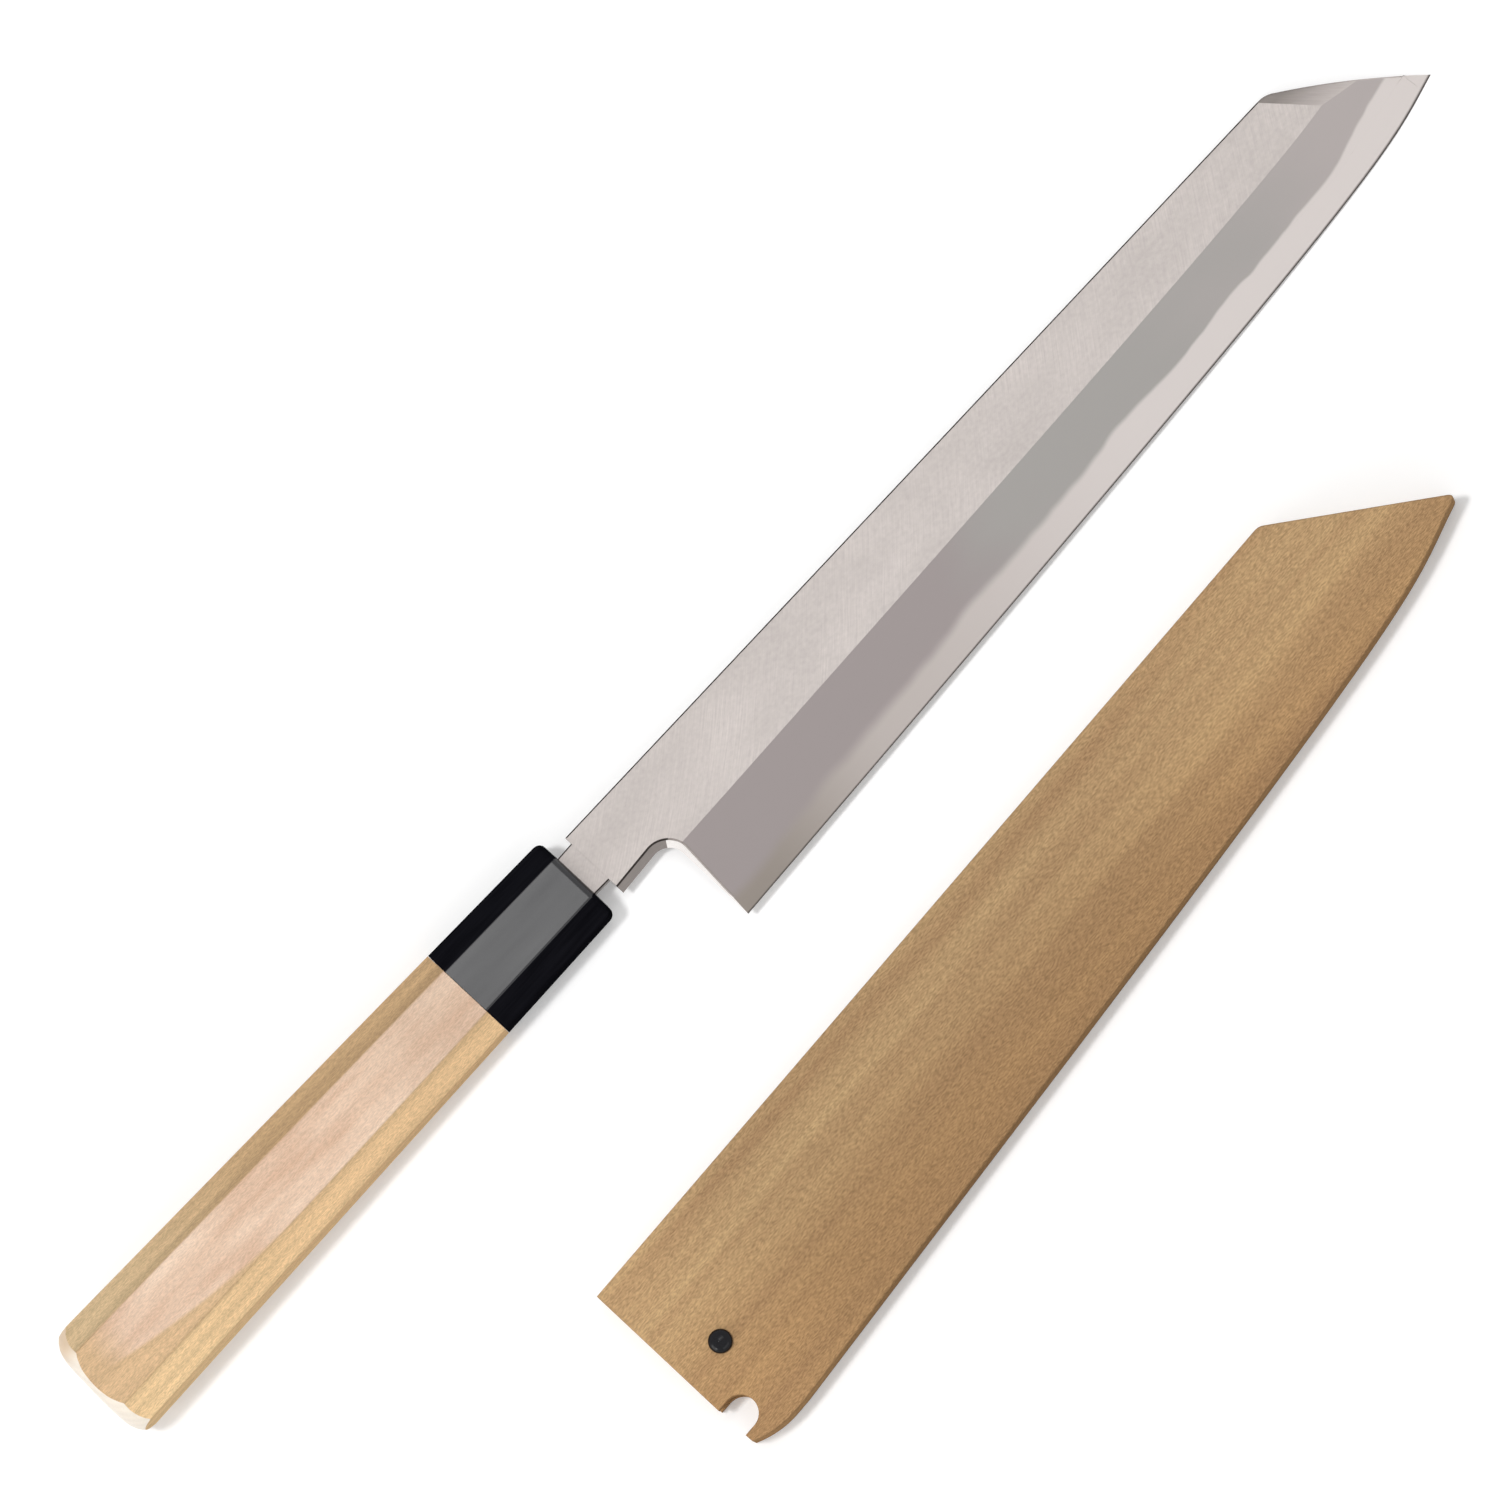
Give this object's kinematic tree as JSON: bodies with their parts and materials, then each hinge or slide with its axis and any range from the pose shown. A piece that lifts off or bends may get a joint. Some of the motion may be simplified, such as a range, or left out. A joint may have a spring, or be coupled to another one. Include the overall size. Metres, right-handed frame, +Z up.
{
  "type": "kiritsuke kitchen knife with saya",
  "caption": "Single-bevel kitchen knife with a clipped tip, octagonal wooden handle and horn ferrule, lying beside its fitted wooden sheath with a locking pin.",
  "frame": {"origin": "middle of the footprint of knife and saya, on the surface that they lie on", "axes": "+X along the knife from butt to tip, +Y from the cutting edge towards the spine, +Z up out of the bevelled side"},
  "size_m": [0.3914, 0.1226, 0.0238],
  "materials": {
    "iron": "ground flat, misty bevel",
    "steel": "fine stone polish",
    "horn": "polished",
    "handle_wood": "bare, fine sanded",
    "saya_wood": "bare, fine sanded",
    "pin_black": "polished"
  },
  "bodies": {
    "knife": {"blade_iron": "iron", "edge_steel": "steel", "ferrule": "horn", "handle": "handle_wood"},
    "saya": {"saya_front_board": "saya_wood", "saya_back_board": "saya_wood", "saya_spine_strip": "saya_wood", "saya_edge_strip": "saya_wood"},
    "pin": {"saya_pin": "pin_black"}
  },
  "joints": [
    {"name": "saya_draw", "type": "slide", "parent": "knife", "child": "saya", "axis": [0.9991, 0.0419, 0], "range_m": [0, 0.245]},
    {"name": "pin_pull", "type": "slide", "parent": "saya", "child": "pin", "axis": [0, 0, 1], "range_m": [0, 0.02]}
  ]
}
